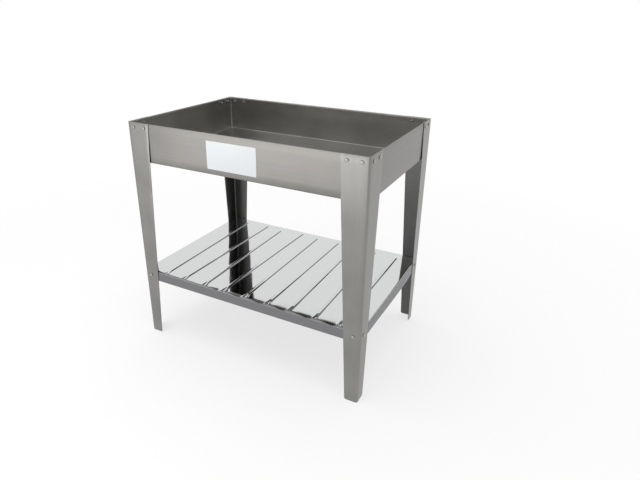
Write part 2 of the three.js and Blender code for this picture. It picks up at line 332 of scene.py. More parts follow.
def start_disc(name: str, radius: float, level: float, sides: int, rise: float = 0.0) -> Piece:
    """Adds a circle primitive about the Z axis, open in edit mode with its top selected.

    Args:
        name: The object's name.
        radius: Out to its corners.
        level: Its height.
        sides: How many.
        rise: How far a filled disc is drawn up. Without it the circle stays a bare ring.

    Returns:
        The new object.
    """
    clear_selection()
    fill = "NGON" if rise else "NOTHING"
    bpy.ops.mesh.primitive_circle_add(
        vertices=sides, radius=radius, fill_type=fill, location=(0, 0, level)
    )
    piece = settle(name)
    start_edit(piece, everything=True)
    if rise:
        pull_up(rise)
    return piece


def copied(source: Piece, name: str, place: Matrix) -> Piece:
    """Copies a modelled piece, with a mesh of its own, to another place.

    Args:
        source: The piece that was modelled once.
        name: Name of the copy.
        place: Moves the mesh from where the source has it.

    Returns:
        The copy, with its origin at the world's.
    """
    piece = source.copy()
    piece.data = source.data.copy()
    piece.name = name
    piece.data.transform(place)
    bpy.context.collection.objects.link(piece)
    return piece


def face_outwards(piece: Piece) -> None:
    """Merges doubles and recalculates the normals of a closed mesh.

    Args:
        piece: The object, which is left in object mode.
    """
    start_edit(piece, everything=True)
    bpy.ops.mesh.remove_doubles(threshold=HAIR / 10)
    bpy.ops.mesh.normals_make_consistent(inside=False)
    clear_selection()


def turned_ring(name: str, outline: list[Span], sides: int = 64) -> Piece:
    """Turns a closed outline about the Z axis, ring by ring.

    Args:
        name: The object's name.
        outline: (radius, height) of each corner, in order round the section.
        sides: Of each ring.

    Returns:
        A closed ring-shaped piece.
    """
    radius, level = outline[0]
    piece = start_disc(name, radius, level, sides)
    for next_radius, next_level in outline[1:] + outline[:1]:
        pull_edges_up(next_level - level)
        resize(next_radius / radius, next_radius / radius, next_level)
        radius, level = next_radius, next_level
    face_outwards(piece)
    return piece


def hand_in(piece: Piece, finish: "Finish", *nodes: str) -> None:
    """Dresses a finished piece and ties it to the frame.

    Args:
        piece: The finished object.
        finish: Its material.
        *nodes: Frame nodes that it stands for.
    """
    finish.dress(piece)
    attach(piece, "root")
    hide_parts(*nodes)
    LOG.info("%s: %d faces, %s", piece.name, len(piece.data.polygons), finish.name)


# ---- finishes


def add_node(
    tree: Tree, kind: str, inputs: dict[int | str, object] | tuple = (), **settings: object
) -> Node:
    """Adds a shader node, sets it up and links it.

    Args:
        tree: Where to add it.
        kind: Blender's node type, without the ShaderNode that its name starts with.
        inputs: A value, a socket or a node for each input, by name or number, or in order. A node
            stands for its first output.
        **settings: Properties of the node.

    Returns:
        The new node.
    """
    made = tree.nodes.new("ShaderNode" + kind)
    for name, value in settings.items():
        setattr(made, name, value)
    for key, value in (inputs if isinstance(inputs, dict) else dict(enumerate(inputs))).items():
        source = value.outputs[0] if isinstance(value, Node) else value
        if isinstance(source, bpy.types.NodeSocket):
            tree.links.new(source, made.inputs[key])
        else:
            made.inputs[key].default_value = source
    return made


def empty_tree(owner: bpy.types.Material | bpy.types.World) -> Tree:
    """Switches nodes on for a material or world and removes the default ones.

    Args:
        owner: The material or world.

    Returns:
        Its node tree, empty.
    """
    owner.use_nodes = True
    owner.node_tree.nodes.clear()
    return owner.node_tree


def grain_pattern(
    tree: Tree, grain_mm: Triple, detail: float = 2.0, seed: float = 0.0
) -> Node:
    """Makes an irregular pattern whose grain has a real size along each axis.

    Args:
        tree: Where to add the nodes.
        grain_mm: Size of a grain along X, Y and Z, in millimetres.
        detail: Octaves.
        seed: Picks another pattern.

    Returns:
        A node that gives values around 0.5.
    """
    place = add_node(tree, "TexCoord").outputs["Object"]
    scale = tuple(1 / (size * MM) for size in grain_mm)
    scaled = add_node(tree, "Mapping", {"Vector": place, "Scale": scale})
    inputs = {"Vector": scaled, "W": seed, "Scale": 1.0, "Detail": detail, "Roughness": 0.5}
    return add_node(tree, "TexNoise", inputs, noise_dimensions="4D")


@dataclass(frozen=True)
class Finish:
    """A surface finish: what it is called, a slot name, which is not used, and its colour."""

    name: str
    slot: str
    colour: str

    def dress(self, piece: Piece) -> None:
        """Gives a piece this finish's material, which is made on first use.

        Args:
            piece: The object to dress.
        """
        made = bpy.data.materials.get(self.name)
        if made is None:
            made = bpy.data.materials.new(self.name)
            tree = empty_tree(made)
            shader = add_node(tree, "BsdfPrincipled", self.sockets(tree))
            add_node(tree, "OutputMaterial", {"Surface": shader})
        piece.data.materials.clear()
        piece.data.materials.append(made)

    def sockets(self, tree: Tree) -> dict[str, object]:
        """Gives what goes into each of the shader's inputs. Each finish has its own."""
        raise NotImplementedError

    def mottled(self, tree: Tree, pattern: Node, tones: Span) -> Node:
        """Makes the finish's colour darker and lighter along a pattern.

        Args:
            tree: The material's nodes.
            pattern: A node that gives values around 0.5.
            tones: What the colour is multiplied by at the pattern's low and at its high values.

        Returns:
            A node that gives the colour.
        """
        tone = add_node(tree, "MapRange", (pattern, *MOST, *tones))
        colour = {0: linear(self.colour)[:3], "Scale": tone}
        return add_node(tree, "VectorMath", colour, operation="SCALE")


@dataclass(frozen=True)
class RolledSteel(Finish):
    """Cold rolled stainless sheet, satin, with a painted tone on the side that looks inwards,
    which is painted light inside the trough and painted shade on the legs.

    The eye gets a soft grey glow with no sharp images in it, faint lines along the rolling
    direction, and cloudy patches where hands and wiping cloths have been.
    """

    # The inner side's tone is painted light and shade.
    inner_side_painted_tone: str
    roughness: Span = (0.29, 0.39)
    # Real rolling lines lie 0.05 mm apart, too fine to show. These are bundles, 7 mm wide.
    lines_mm: Triple = (300.0, 300.0, 7.0)
    line_tones: Span = (0.97, 1.03)
    clouds_mm: Triple = (150.0, 150.0, 150.0)
    cloud_tones: Span = (0.86, 1.12)

    def sockets(self, tree: Tree) -> dict[str, object]:
        """Works out the sheet's shader inputs.

        Args:
            tree: The material's nodes.

        Returns:
            A value or a node for each input.
        """
        lines = grain_pattern(tree, self.lines_mm, detail=0.0)
        clouds = grain_pattern(tree, self.clouds_mm, seed=4.0)
        wiped = add_node(tree, "MapRange", (clouds, *ALMOST_ALL, *self.roughness))
        lined = add_node(tree, "MapRange", (lines, *ALMOST_ALL, *self.line_tones))
        clouded = add_node(tree, "MapRange", (clouds, *ALMOST_ALL, *self.cloud_tones))
        tone = add_node(tree, "Math", (lined, clouded), operation="MULTIPLY")
        # The inner side's own tone is painted light and shade.
        painted_side_tones = {0: self.inside(tree), 6: linear(self.colour), 7: linear(self.inner_side_painted_tone)}
        skin = add_node(tree, "Mix", painted_side_tones, data_type="RGBA").outputs[2]
        tinted = add_node(tree, "VectorMath", {0: skin, "Scale": tone}, operation="SCALE")
        return {"Base Color": tinted, "Metallic": 1.0, "Roughness": wiped}

    @staticmethod
    def inside(tree: Tree) -> Node:
        """Finds the faces that look in towards the table's middle, which take the painted tone.

        Args:
            tree: The material's nodes.

        Returns:
            A node that gives 1 on the inner side of the sheet and 0 on its outer side.
        """
        normal = add_node(tree, "NewGeometry").outputs["Normal"]
        place = add_node(tree, "TexCoord").outputs["Object"]
        # The table is half as long again as it is deep, so this evens its two half widths out.
        outwards = add_node(tree, "VectorMath", (place, (1.0, 1.5, 0.0)), operation="MULTIPLY")
        along = add_node(tree, "VectorMath", (outwards, normal), operation="DOT_PRODUCT")
        return add_node(tree, "MapRange", (along.outputs["Value"], 0.02, -0.02, 0.0, 1.0))


@dataclass(frozen=True)
class MirrorSteel(Finish):
    """Stainless sheet, ground and polished to a mirror on top only.

    The eye gets clear images of what stands around, thin dark lines in the flanks of the ribs,
    which are painted dark reflection, and plain satin grey on the upright lips.
    """

    film_mm: Triple = (45.0, 45.0, 45.0)
    film_ends: Span = (0.5, 0.85)
    film_roughness: Span = (0.05, 0.13)
    # Bundles of scratches, 3 mm wide. Single ones are far too fine to show.
    scratches_mm: Triple = (3.0, 120.0, 3.0)
    scratch_ends: Span = (0.55, 0.8)
    scratch_roughness: Span = (0.0, 0.03)
    # How far up a face looks, where the satin lips end, and where the painted dark flanks end
    # and the polished tops begin.
    lip_tilts: Span = (0.08, 0.3)
    flank_tilts: Span = (0.76, 0.95)
    # The flanks' darker colour is a painted dark reflection.
    flank_painted_reflection_colour: str = "#6F7071"
    lip_colour: str = "#7C7C7F"
    lip_roughness: float = 0.36

    def sockets(self, tree: Tree) -> dict[str, object]:
        """Works out the polished sheet's shader inputs.

        Args:
            tree: The material's nodes.

        Returns:
            A value or a node for each input.
        """
        normal = add_node(tree, "NewGeometry").outputs["Normal"]
        tilt = add_node(tree, "SeparateXYZ", (normal,)).outputs["Z"]
        lying = add_node(tree, "MapRange", (tilt, *self.lip_tilts, 0.0, 1.0))
        level = add_node(tree, "MapRange", (tilt, *self.flank_tilts, 0.0, 1.0))
        marks = grain_pattern(tree, self.film_mm, detail=4.0)
        film = add_node(tree, "MapRange", (marks, *self.film_ends, *self.film_roughness))
        lines = grain_pattern(tree, self.scratches_mm, seed=2.0)
        scratched = add_node(
            tree, "MapRange", (lines, *self.scratch_ends, *self.scratch_roughness)
        )
        worn = add_node(tree, "Math", (film, scratched), operation="ADD")
        grades = {0: lying, 2: self.lip_roughness, 3: worn}
        rough = add_node(tree, "Mix", grades, data_type="FLOAT")
        # Paints the rib flanks darker, a painted reflection.
        tops = {0: level, 6: linear(self.flank_painted_reflection_colour), 7: linear(self.colour)}
        top_tone_with_painted_flanks = add_node(tree, "Mix", tops, data_type="RGBA").outputs[2]
        tones = {0: lying, 6: linear(self.lip_colour), 7: top_tone_with_painted_flanks}
        tone = add_node(tree, "Mix", tones, data_type="RGBA").outputs[2]
        return {"Base Color": tone, "Metallic": 1.0, "Roughness": rough}


@dataclass(frozen=True)
class MachineSteel(Finish):
    """Cold headed and turned stainless steel, washed bright.

    The eye gets small hard glints, a little broken up by the forging grain.
    """

    grain_mm: Triple = (1.5, 1.5, 1.5)
    roughness: Span = (0.1, 0.2)
    tones: Span = (0.92, 1.0)

    def sockets(self, tree: Tree) -> dict[str, object]:
        """Works out the fastener's shader inputs.

        Args:
            tree: The material's nodes.

        Returns:
            A value or a node for each input.
        """
        grain = grain_pattern(tree, self.grain_mm, detail=3.0)
        rough = add_node(tree, "MapRange", (grain, *MOST, *self.roughness))
        tinted = self.mottled(tree, grain, self.tones)
        return {"Base Color": tinted, "Metallic": 1.0, "Roughness": rough}


@dataclass(frozen=True)
class MouldedRubber(Finish):
    """Pressed nitrile rubber, matt, with a bloom that greys it slightly in patches."""

    bloom_mm: Triple = (4.0, 4.0, 4.0)
    tones: Span = (0.8, 1.5)

    def sockets(self, tree: Tree) -> dict[str, object]:
        """Works out the rubber's shader inputs.

        Args:
            tree: The material's nodes.

        Returns:
            A value or a node for each input.
        """
        bloom = grain_pattern(tree, self.bloom_mm, detail=4.0)
        tinted = self.mottled(tree, bloom, self.tones)
        return {"Base Color": tinted, "Roughness": 0.6, "IOR": 1.52}


@dataclass(frozen=True)
class VinylFilm(Finish):
    """Cast vinyl film, smooth and bare, with the faint ripple of a film pressed on by hand."""

    ripple_mm: Triple = (14.0, 14.0, 14.0)
    roughness: Span = (0.32, 0.42)

    def sockets(self, tree: Tree) -> dict[str, object]:
        """Works out the film's shader inputs.

        Args:
            tree: The material's nodes.

        Returns:
            A value or a node for each input.
        """
        ripple = grain_pattern(tree, self.ripple_mm)
        waves = {"Height": ripple, "Strength": 0.1, "Distance": 0.2 * MM}
        bump = add_node(tree, "Bump", waves)
        rough = add_node(tree, "MapRange", (ripple, *MOST, *self.roughness))
        colour = linear(self.colour)
        return {"Base Color": colour, "Roughness": rough, "IOR": 1.5, "Normal": bump}


# The inner tones are painted: light inside the trough, shade on the legs' inner faces.
TROUGH_FINISH = RolledSteel("satin_stainless_wall", "satin_steel", "#817F7C", "#A6A4A1")
LEG_FINISH = RolledSteel(
    "satin_stainless_leg", "satin_steel", "#8B8A87", "#5C5C5B", lines_mm=(7.0, 7.0, 300.0)
)
SHELF_FINISH = MirrorSteel("mirror_stainless_sheet", "polished_steel", "#D4D5D5")
FASTENER_FINISH = MachineSteel("bright_stainless_fastener", "fastener_steel", "#ABAAA8")
SEAL_FINISH = MouldedRubber("nitrile_rubber", "rubber", "#2A2A2C")
LABEL_FINISH = VinylFilm("white_vinyl_film", "label", "#E4E8EA")


# ---- trough


@dataclass
class Trough:
    """The folded trough: walls, creased floor with a drain recess, and a hem round the rim."""

    sheet: float = 1 * MM
    wall_height: float = 137.5 * MM
    corner_radius: float = 6 * MM
    corner_segments: int = 6
    floor_bend: float = 4 * MM
    floor_bend_segments: int = 4
    hem_thickness: float = 2.6 * MM
    hem_height: float = 7 * MM
    hem_segments: int = 6
    recess_radius: float = 42 * MM
    recess_blend: float = 5 * MM
    hole_radius: float = 24 * MM
    grid: float = 30 * MM
    floor_rings: tuple[float, ...] = (0.96, 0.9, 0.83, 0.75, 0.66, 0.56, 0.46, 0.36, 0.26, 0.17)
    drain_share: float = 0.1  # the ring that would lie as low as the drain
    # Height, number and start of each wave that folding and welding leave in the sheet.
    long_wall_waves: tuple[Triple, ...] = (
        (0.45 * MM, 2.2, 0.6),
        (0.25 * MM, 5.3, 1.0),
    )
    short_wall_waves: tuple[Triple, ...] = ((0.4 * MM, 2.6, 0.4),)
    # Height of the floor's waves, then their number and start across and from front to back.
    floor_wave: tuple[float, ...] = (0.5 * MM, 4.1, 1.3, 3.3, -0.4)
    low: Vector = field(init=False)
    high: Vector = field(init=False)

    def __post_init__(self) -> None:
        """Takes its place from the frame."""
        self.low, self.high = node_box("trough")

    def build(self) -> None:
        """Models the whole trough."""
        piece = self.walls()
        self.sink_floor(piece)
        self.fold_hem()
        clear_selection()
        shift_points(piece, self.spring)
        thicken(piece, self.sheet)
        shade(piece)
        hand_in(piece, TROUGH_FINISH, "trough")

    @property
    def wall_bottom(self) -> float:
        """Height of the walls' lower edge."""
        return self.high.z - self.wall_height

    @property
    def turn(self) -> float:
        """Outside radius of the fold at the rim."""
        return self.hem_thickness / 2

    def walls(self) -> Piece:
        """Makes the open box with its rounded corners, left in edit mode.

        Returns:
            The box's skin.
        """
        low = Vector((self.low.x, self.low.y, self.wall_bottom))
        high = Vector((self.high.x, self.high.y, self.high.z - self.turn))
        piece = start_cube("trough_sheet", low, high)
        pick(Pick.FACE, lambda face: face.normal.z > 0.9)
        bpy.ops.mesh.delete(type="ONLY_FACE")
        pick(Pick.EDGE, lambda edge: runs_along(edge, 2))
        round_off(self.corner_radius, self.corner_segments)
        pick(Pick.EDGE, lambda edge: middle(edge).z < low.z + HAIR)
        round_off(self.floor_bend, self.floor_bend_segments)
        cut_across(0, steps(low.x, high.x, self.grid))
        cut_across(1, steps(low.y, high.y, self.grid))
        cut_across(2, steps(low.z + self.floor_bend, high.z, self.grid))
        return piece

    def sink_floor(self, piece: Piece) -> None:
        """Draws the floor down to the drain in rings, so that its creases run to the corners.

        Args:
            piece: The open box, in edit mode.
        """
        flat = self.wall_bottom + HAIR
        pick(Pick.FACE, lambda face: face.normal.z < -0.99 and face.calc_center_median().z < flat)
        fall = self.wall_bottom - self.low.z
        before, depth = 1.0, 0.0
        for share in self.floor_rings:
            drop = fall * (1 - share) / (1 - self.drain_share)
            pull_up(depth - drop)
            resize(share / before, share / before, self.wall_bottom - drop)
            before, depth = share, drop
        bpy.ops.mesh.delete(type="FACE")
        pick(Pick.EDGE, lambda edge: edge.is_boundary and middle(edge).z < self.wall_bottom)
        for radius, lift in (
            (self.recess_radius + self.recess_blend, 0.6 * MM),
            (self.recess_radius + 0.5 * self.recess_blend, 0.15 * MM),
            (self.recess_radius, 0.0),
            (self.hole_radius, 0.0),
        ):
            pull_edges_up(0)
            self.draw_circle(piece, radius, self.low.z + lift)

    @staticmethod
    def draw_circle(piece: Piece, radius: float, level: float) -> None:
        """Moves the picked vertices on to a circle round the drain.

        Args:
            piece: The trough, in edit mode.
            radius: Of the circle.
            level: Its height.
        """
        mesh = bmesh.from_edit_mesh(piece.data)
        for vertex in (v for v in mesh.verts if v.select):
            away = Vector((vertex.co.x, vertex.co.y, 0)).normalized()
            vertex.co = away * radius + Vector((0, 0, level))
        bmesh.update_edit_mesh(piece.data)

    def fold_hem(self) -> None:
        """Folds the rim of the edited box inwards and down."""
        rim = self.high.z - self.turn
        pick(Pick.EDGE, lambda edge: edge.is_boundary and middle(edge).z > rim - HAIR)
        angles = (math.pi * i / self.hem_segments for i in range(1, self.hem_segments + 1))
        path = [(self.turn * (1 - math.cos(a)), rim + self.turn * math.sin(a)) for a in angles]
        path.append((self.hem_thickness, self.high.z - self.hem_height))
        inset, level = 0.0, rim
        for next_inset, next_level in path:
            pull_edges_up(next_level - level)
            shrink = [(side - next_inset) / (side - inset) for side in self.high.xy]
            resize(shrink[0], shrink[1], next_level)
            inset, level = next_inset, next_level

    def spring(self, place: Vector) -> Vector:
        """The slight waves that folding and welding leave in thin sheet.

        Args:
            place: A point of the skin.

        Returns:
            How far it moves.
        """
        x, y = place.x / self.high.x, place.y / self.high.y
        up = (place.z - self.wall_bottom) / self.wall_height
        free = max(0.0, up) * (1 - smooth(up, 0.86, 1.0))
        wall = 0.985  # the share of the half length or depth past which a point is in a wall
        move = Vector((0, 0, 0))
        if abs(y) > wall:
            belly = sum(w * math.sin(count * x + at) for w, count, at in self.long_wall_waves)
            move.y = math.copysign(belly * free * (1 - x * x), y)
        elif abs(x) > wall:
            belly = sum(w * math.sin(count * y + at) for w, count, at in self.short_wall_waves)
            move.x = math.copysign(belly * free * (1 - y * y), x)
        if up < 0.0:
            size, across, at_x, back, at_y = self.floor_wave
            wave = size * math.sin(across * x + at_x) * math.cos(back * y + at_y)
            ends = (1 - x * x) * (1 - y * y)
            move.z = wave * ends * smooth(max(abs(x), abs(y)), 1.0, 0.8)
        return move


# ---- legs


LEGS_LOW = node_box("leg_front_left")[0]
LEGS_HIGH = node_box("leg_back_right")[1]


class Corner(Enum):
    """The table's corners, with the quarter turns that take the first leg to each."""

    front_left = 0
    front_right = 1
    back_right = 2
    back_left = 3

    @property
    def place(self) -> Matrix:
        """Takes a point of the leg's own frame to the table's.

        Returns:
            The quarter turn and the move to this corner.
        """
        x = (LEGS_LOW if self.name.endswith("left") else LEGS_HIGH).x
        y = (LEGS_LOW if self.name.startswith("front") else LEGS_HIGH).y
        return Matrix.Translation((x, y, 0)) @ Matrix.Rotation(self.value * QUARTER, 4, "Z")


@dataclass
class Legs:
    """Four angles of tapered sheet, each screwed to the trough and the shelf."""

    sheet: float = 1.5 * MM
    top_flange: float = 93 * MM
    foot_flange: float = 47 * MM
    inside_bend: float = 6 * MM
    bend_segments: int = 6
    foot_chamfer: float = 4 * MM
    burr: float = 0.3 * MM
    grid_along: float = 25 * MM
    grid_across: float = 14 * MM
    seam_level: float = 712.5 * MM  # the trough wall's lower edge, where a flange stands off most
    screw_levels: Span = (256.5 * MM, 833 * MM)
    spring_start: float = 8 * MM
    # How far the free edges of each corner's two flanges stand off at the most, first the flange
    # that starts out along X.
    stand_off: tuple[Span, ...] = (
        (2.4 * MM, 0.8 * MM),
        (1.0 * MM, 1.2 * MM),
        (1.6 * MM, 2.2 * MM),
        (0.8 * MM, 1.0 * MM),
    )

    @property
    def height(self) -> float:
        """From the floor to the rim."""
        return LEGS_HIGH.z

    def build(self) -> None:
        """Models one leg, then makes the four of it."""
        pattern = self.angle()
        for corner in Corner:
            piece = copied(pattern, f"leg_sheet_{corner.name}", Matrix())
            shift_points(piece, self.spring(*self.stand_off[corner.value]))
            thicken(piece, self.sheet)
            piece.data.transform(corner.place)
            break_edges(piece, self.burr)
            shade(piece)
            hand_in(piece, LEG_FINISH, f"leg_{corner.name}")
        bpy.data.objects.remove(pattern)

    def angle(self) -> Piece:
        """Folds and tapers the outer skin of one leg, with its corner on the Z axis.

        Returns:
            The skin.
        """
        wide, narrow = self.top_flange, self.foot_flange
        piece = start_cube("leg_pattern", Vector((0, 0, 0)), Vector((wide, wide, self.height)))
        pick(Pick.FACE, lambda face: abs(face.normal.z) > 0.9 or max(face.normal.xy) > 0.9)
        bpy.ops.mesh.delete(type="FACE")
        pick(Pick.EDGE, lambda edge: runs_along(edge, 2) and middle(edge).xy.length < HAIR)
        round_off(self.inside_bend + self.sheet, self.bend_segments)
        for axis in (0, 1):
            pick(Pick.VERT, lambda vert: vert.co.z < HAIR and vert.co[axis] > wide - HAIR)
            move = [0.0, 0.0, 0.0]
            move[axis] = narrow - wide
            bpy.ops.transform.translate(value=move)
        pick(Pick.VERT, lambda vert: vert.co.z < HAIR and max(vert.co.xy) > narrow - HAIR)
        round_off(self.foot_chamfer, 1, Pick.VERT)
        cut_across(2, steps(0, self.height, self.grid_along))
        for axis in (0, 1):
            cut_across(axis, steps(10 * MM, wide, self.grid_across))
        clear_selection()
        return piece

    def spring(self, along_x: float, along_y: float) -> Shift:
        """The way a screwed-on flange stands off between its screws.

        Args:
            along_x: How far the free edge of the flange along X stands off at the most.
            along_y: The same for the flange along Y.

        Returns:
            The shift of each point of the leg's skin.
        """
        lower, upper = self.screw_levels

        def shift(place: Vector) -> Vector:
            """Moves one point outwards.

            Args:
                place: A point of the skin.

            Returns:
                How far it moves.
            """
            end = upper if place.z > self.seam_level else lower
            amount = max(0.0, (place.z - end) / (self.seam_level - end))
            share_x = smooth(place.x, self.spring_start, self.top_flange)
            share_y = smooth(place.y, self.spring_start, self.top_flange)
            return Vector((-along_y * share_y * amount, -along_x * share_x * amount, 0))

        return shift


# ---- shelf


class Zone(Enum):
    """Where near the shelf's edge a line of its grid runs."""

    LIP = "on the lip"
    BEND = "in the bend"
    FLAT = "on the flat beside the bend"


@dataclass(frozen=True)
class Station:
    """One line of the shelf's grid near its left or front edge, or near a far one."""

    zone: Zone
    share: float
    far: bool = False

    def at(self, radius: float, lip: float, flat: float) -> Span:
        """Finds the line's place.

        Args:
            radius: Outside radius of the bend here.
            lip: Height of the lip.
            flat: How far in from the edge the stations reach.

        Returns:
            How far in from the outer face it lies, and how far below the shelf's top.
        """
        if self.zone is Zone.LIP:
            return 0.0, radius + (lip - radius) * self.share
        if self.zone is Zone.BEND:
            angle = QUARTER * self.share
            return radius * (1 - math.sin(angle)), radius * (1 - math.cos(angle))
        return radius + (flat - radius) * self.share, 0.0


Line = Station | float
EDGE_SHARES = {
    Zone.LIP: (1.0, 0.8, 0.6, 0.4, 0.2),
    Zone.BEND: (1.0, 0.83, 0.67, 0.5, 0.33, 0.17, 0.0),
    Zone.FLAT: (0.25, 0.5, 0.75, 1.0),
}
EDGE_STATIONS = [Station(zone, share) for zone, shares in EDGE_SHARES.items() for share in shares]
FOLDED_LINES = len(EDGE_SHARES[Zone.LIP]) + len(EDGE_SHARES[Zone.BEND])
RIB_LINES_MM = (
    0.0, 1.3, 2.6, 3.4, 3.9, 4.4, 5.0, 5.6, 6.2, 6.8, 7.4, 8.2, 9.4, 11.0, 13.0, 17.0, 24.0, 34.0,
)


@dataclass
class Shelf:
    """The pressed shelf: nine ribs that flare at the front, and lips folded down on four sides."""

    sheet: float = 1 * MM
    top: float = 277.5 * MM
    lip: float = 40 * MM
    side_radius: float = 3 * MM
    # The front bend is round at a rib and tight between ribs, where the sheet droops towards it,
    # so the lip starts at one level all along.
    rib_radius: float = 5.3 * MM
    front_droop: float = 4 * MM
    droop_reach: float = 11.5 * MM
    tight_left: float = 0.2  # how much of the droop there is at the left end
    # The stretches over which the droop grows and fades between two ribs, from 0 to 1, and grows
    # away from the shelf's ends and from its tight left part.
    droop_grows: Span = (0.08, 0.66)
    droop_fades: Span = (0.99, 0.74)
    droop_from_ends: Span = (4 * MM, 50 * MM)
    droop_from_left: Span = (-240 * MM, -110 * MM)
    flat: float = 14 * MM
    rib_count: int = 9
    rib_half_width: float = 7.6 * MM
    rib_flank: float = 4 * MM
    rib_rise: float = 3.5 * MM
    rib_crown: float = 0.12  # how much lower a rib's flanks start than its middle
    rib_front: float = 5.5 * MM
    foot_length: float = 34 * MM
    foot_half_width: float = 13 * MM
    foot_fall: float = 0.35  # how much lower than the rib its foot is
    foot_hollow: float = 0.8  # depth of the groove in a foot, as a share of the rib's rise
    foot_hollow_width: float = 0.42  # as a share of the foot's half width
    panel_crown: float = 0.3 * MM
    panel_wave: float = 0.18 * MM
    # How the unsupported right side bows: how far at the most, and the stretches, from 0 at the
    # front to 1 at the back, over which that grows and fades.
    right_bulge: float = 2.6 * MM
    bulge_grows: Span = (0.04, 0.5)
    bulge_fades: Span = (0.9, 0.55)
    right_flare: float = 5.3 * MM
    flare_grows: Span = (0.25, 0.72)
    flare_fades: Span = (0.93, 0.76)
    right_sink: float = 1.2 * MM
    sink_grows: Span = (0.93, 1.0)
    right_reach: float = 60 * MM
    # How far each hand-pressed rib strays to the right, at its front and at its back end.
    rib_strays_mm: tuple[Span, ...] = (
        (8, 0), (2, 16), (7, 2), (3, 17), (5, 6), (8, 17), (7, 4), (13, 9), (12, 14),
    )
    # How far short of the back edge each rib ends.
    rib_ends: tuple[float, ...] = tuple(v * MM for v in (34, 24, 40, 20, 34, 30, 44, 38, 42))
    low: Vector = field(init=False)
    high: Vector = field(init=False)

    def __post_init__(self) -> None:
        """Takes its place from the frame."""
        self.low, self.high = node_box("shelf")

    @property
    def pitch(self) -> float:
        """Distance between ribs."""
        return (self.high.x - self.low.x) / (self.rib_count + 1)

    def build(self) -> None:
        """Models the shelf: a flat grid without its corners, each line then pressed into place."""
        columns, rows = self.columns(), self.rows()
        clear_selection()
        bpy.ops.mesh.primitive_grid_add(
            x_subdivisions=len(columns) - 1, y_subdivisions=len(rows) - 1, size=2
        )
        piece = settle("shelf_sheet")
        start_edit(piece)
        pick(Pick.FACE, lambda face: self.in_notch(face, columns, rows))
        bpy.ops.mesh.delete(type="FACE")
        clear_selection()
        for vertex in piece.data.vertices:
            across = columns[round(self.line_number(vertex.co.x, columns))]
            back = rows[round(self.line_number(vertex.co.y, rows))]
            vertex.co = self.pressed(across, back)
        thicken(piece, self.sheet)
        shade(piece, 50)
        hand_in(piece, SHELF_FINISH, "shelf")

    def columns(self) -> list[Line]:
        """Lists the grid's lines across X: stations at the edges, places in between.

        Returns:
            From the left edge to the right one. The places are those of the ribs before they stray.
        """
        offsets = [side * offset * MM for offset in RIB_LINES_MM for side in (-1, 1)]
        places = {self.rib_place(rib) + off for rib in range(self.rib_count) for off in offsets}
        limit = self.high.x - self.flat - 2 * MM
        return self.edged(sorted(place for place in places if abs(place) < limit))

    def rows(self) -> list[Line]:
        """Lists the grid's lines across Y, closest at the ribs' ends.

        Returns:
            From the front edge to the back one.
        """
        # Where each stretch of rows ends, and the distance between its rows.
        spans = (
            (self.low.y + self.foot_length + 12 * MM, 1.6 * MM),
            (self.high.y - max(self.rib_ends) - 14 * MM, 12 * MM),
            (self.high.y - min(self.rib_ends) + 6 * MM, 2.2 * MM),
            (self.high.y - self.flat, 6 * MM),
        )
        start, inner = self.low.y + self.flat, []
        for end, pitch in spans:
            inner += steps(start, end, pitch) + [end]
            start = end
        return self.edged(inner[:-1])

    @staticmethod
    def edged(inner: list[float]) -> list[Line]:
        """Puts edge stations before and behind the places between."""
        behind = [replace(station, far=True) for station in reversed(EDGE_STATIONS)]
        return EDGE_STATIONS + inner + behind

    @staticmethod
    def line_number(place: float, lines: list[Line]) -> float:
        """Turns a place on the flat grid, which runs from -1 to 1, into a number of its line."""
        return (place + 1) / 2 * (len(lines) - 1)

    def in_notch(self, face: bmesh.types.BMFace, columns: list[Line], rows: list[Line]) -> bool:
        """Tells whether a face of the flat grid lies where a corner is notched out.

        Args:
            face: A face of the grid.
            columns: Its lines across X.
            rows: Its lines across Y.

        Returns:
            True in the four corners.
        """
        centre = face.calc_center_median()
        for place, lines in ((centre.x, columns), (centre.y, rows)):
            number = self.line_number(place, lines)
            if FOLDED_LINES <= number <= len(lines) - 1 - FOLDED_LINES:
                return False
        return True

    def rib_place(self, rib: int) -> float:
        """Gives where along X a rib runs before it strays."""
        return self.low.x + (rib + 1) * self.pitch

    def stray(self, x: float, y: float) -> float:
        """How far the sheet's ribs lie to the right of their even spacing.

        Args:
            x: Place across, before straying.
            y: Place from front to back.

        Returns:
            The shift, faded from rib to rib and to nothing at the side edges.
        """
        back = (y - self.low.y) / (self.high.y - self.low.y)
        shifts = [(front + (rear - front) * back) * MM for front, rear in self.rib_strays_mm]
        shifts = [0.0] + shifts + [0.0]
        share = min(max((x - self.low.x) / self.pitch, 0.0), self.rib_count + 0.999)
        left = int(share)
        blend = smooth(share - left, 0.15, 0.85)
        return shifts[left] * (1 - blend) + shifts[left + 1] * blend

    def nearest_rib(self, x: float) -> tuple[int, float]:
        """Gives the nearest rib and the distance to it, before straying."""
        rib = min(range(self.rib_count), key=lambda i: abs(x - self.rib_place(i)))
        return rib, abs(x - self.rib_place(rib))

    def place_of(self, line: Line, low: float, high: float, radius: float) -> Span:
        """Turns a grid line into a place.

        Args:
            line: A station or a place.
            low: Outer face that the near stations belong to.
            high: Outer face of the far ones.
            radius: Of the bend.

        Returns:
            The place across, and how far it lies below the top.
        """
        if isinstance(line, float):
            return line, 0.0
        inset, drop = line.at(radius, self.lip, self.flat)
        return (high - inset if line.far else low + inset), drop

